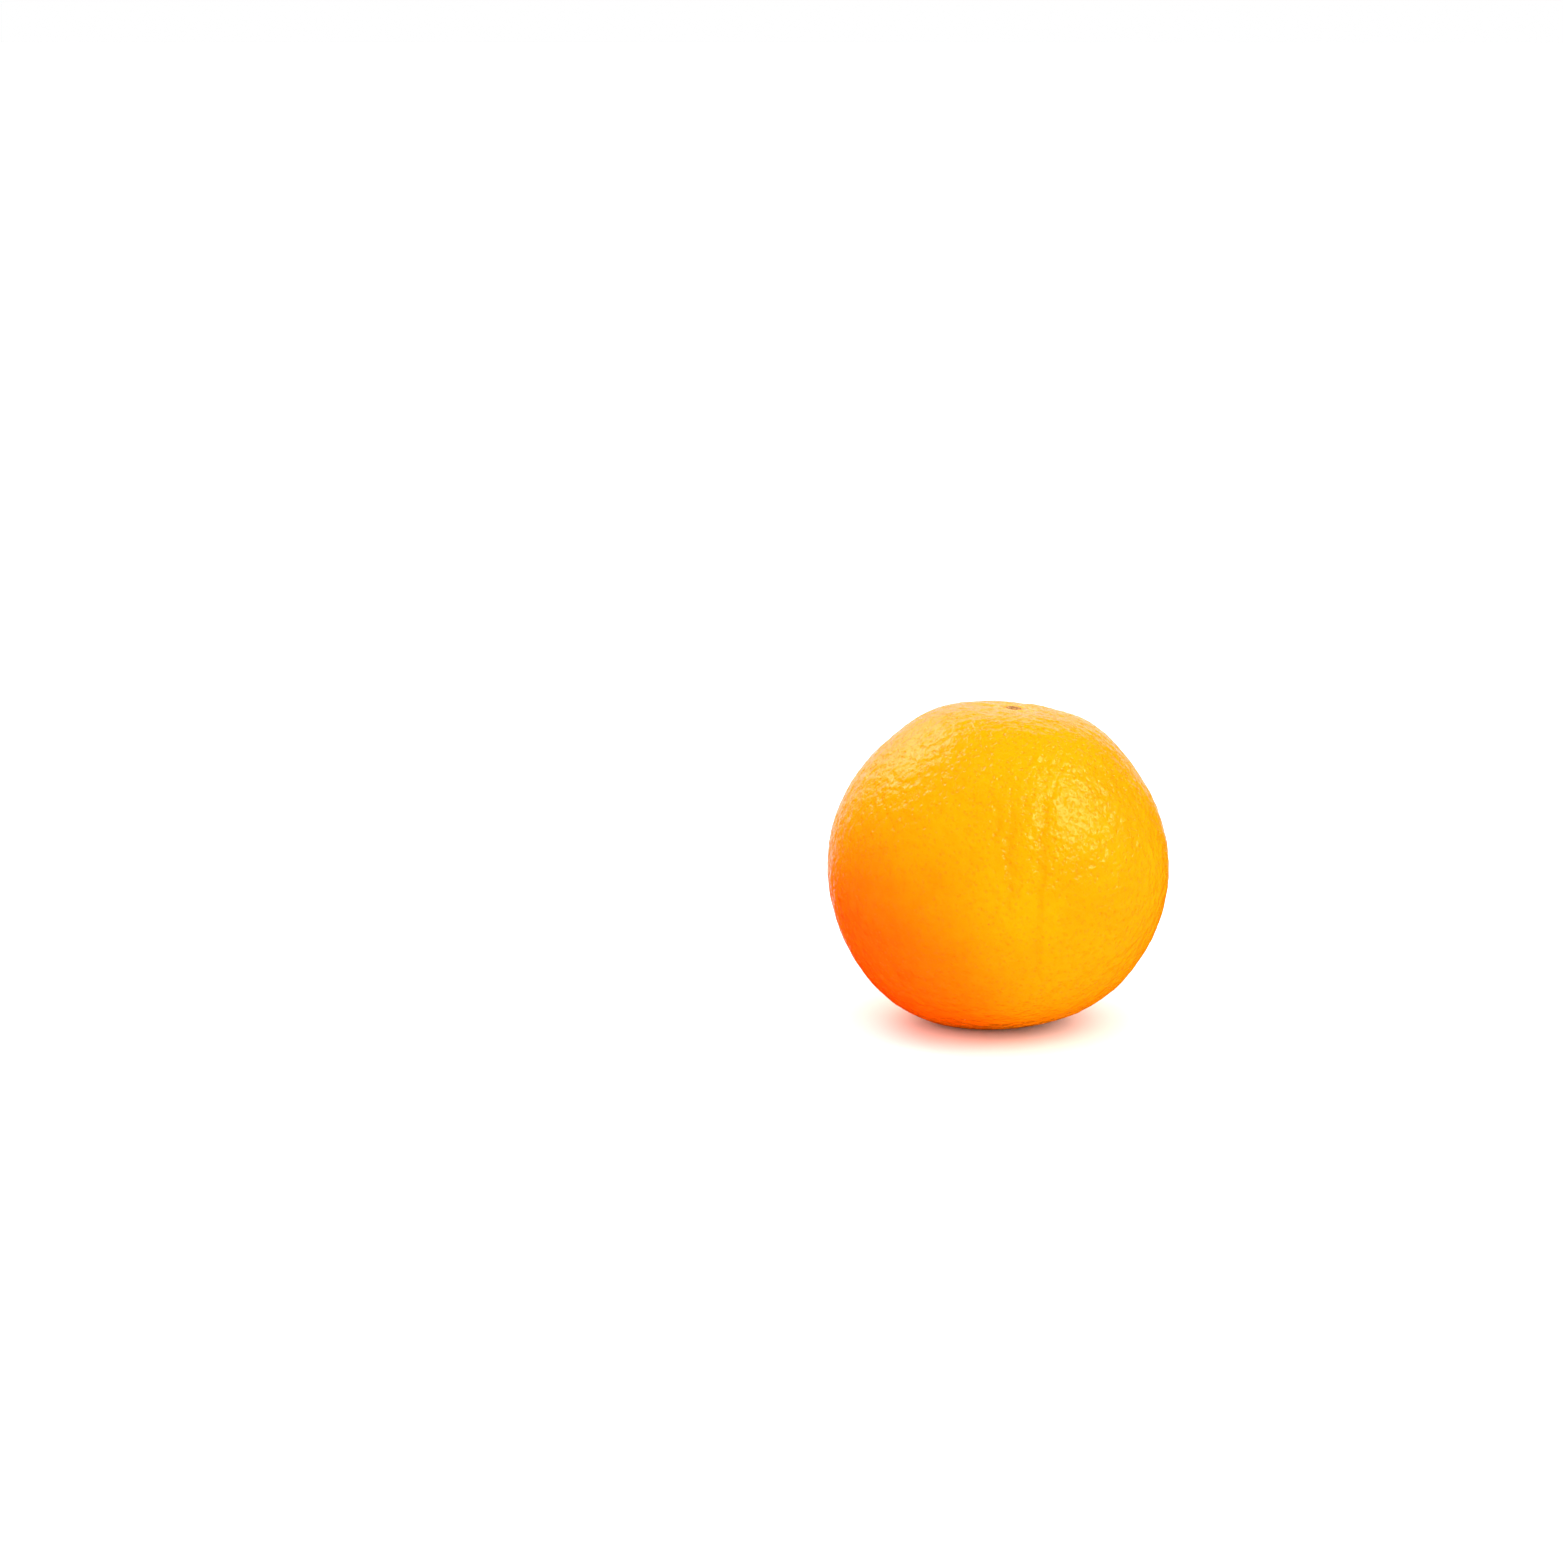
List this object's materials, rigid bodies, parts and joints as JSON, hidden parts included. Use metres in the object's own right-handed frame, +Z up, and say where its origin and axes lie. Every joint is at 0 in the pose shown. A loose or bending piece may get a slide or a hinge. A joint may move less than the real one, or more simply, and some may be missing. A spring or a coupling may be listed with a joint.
{
  "type": "orange",
  "caption": "Whole navel orange with dimpled, waxy peel, standing on its navel end with a small dry stem end in the shallow dimple at its top.",
  "frame": {"origin": "On the surface that the fruit stands on, under the middle of its outline seen from above.", "axes": "+Z up, +X to the right and -Y towards the viewer, in the view that the picture gives."},
  "size_m": [0.0826, 0.0822, 0.0779],
  "materials": {
    "peel": "waxy orange peel with fine oil-gland pits, satin gloss",
    "dry_stem": "dry, rough, brown woody tissue"
  },
  "bodies": {
    "root": {"fruit": "peel", "stem_end": "dry_stem"}
  },
  "joints": []
}
